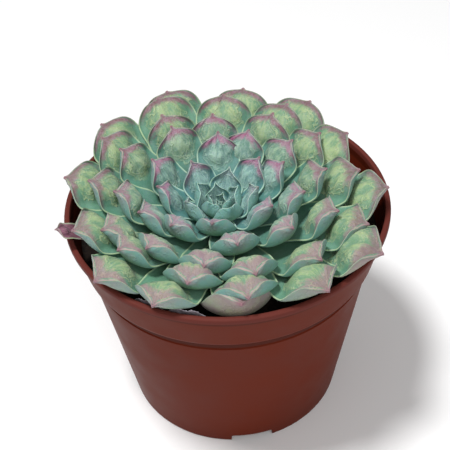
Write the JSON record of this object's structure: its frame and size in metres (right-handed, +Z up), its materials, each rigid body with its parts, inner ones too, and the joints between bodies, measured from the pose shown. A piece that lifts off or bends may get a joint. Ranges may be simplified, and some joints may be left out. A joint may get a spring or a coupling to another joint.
{
  "type": "potted echeveria",
  "caption": "Succulent rosette with spoon-shaped, pointed leaves in a tapered plastic nursery pot filled with dark potting mix.",
  "frame": {"origin": "on the pot's axis, in the plane the pot's foot stands on", "axes": "+Z up along the pot's axis, -Y towards the side the rosette leans to, +X to that viewer's right"},
  "size_m": [0.1222, 0.1214, 0.1104],
  "materials": {
    "pot": "satin moulded plastic",
    "potting_mix": "rough",
    "leaf": "waxy bloom",
    "withered_leaf": "papery"
  },
  "bodies": {
    "root": {"pot": "pot", "potting_mix": "potting_mix", "rosette": "leaf", "withered_leaf_1": "withered_leaf", "withered_leaf_2": "withered_leaf", "withered_leaf_3": "withered_leaf", "withered_leaf_4": "withered_leaf"}
  },
  "joints": []
}
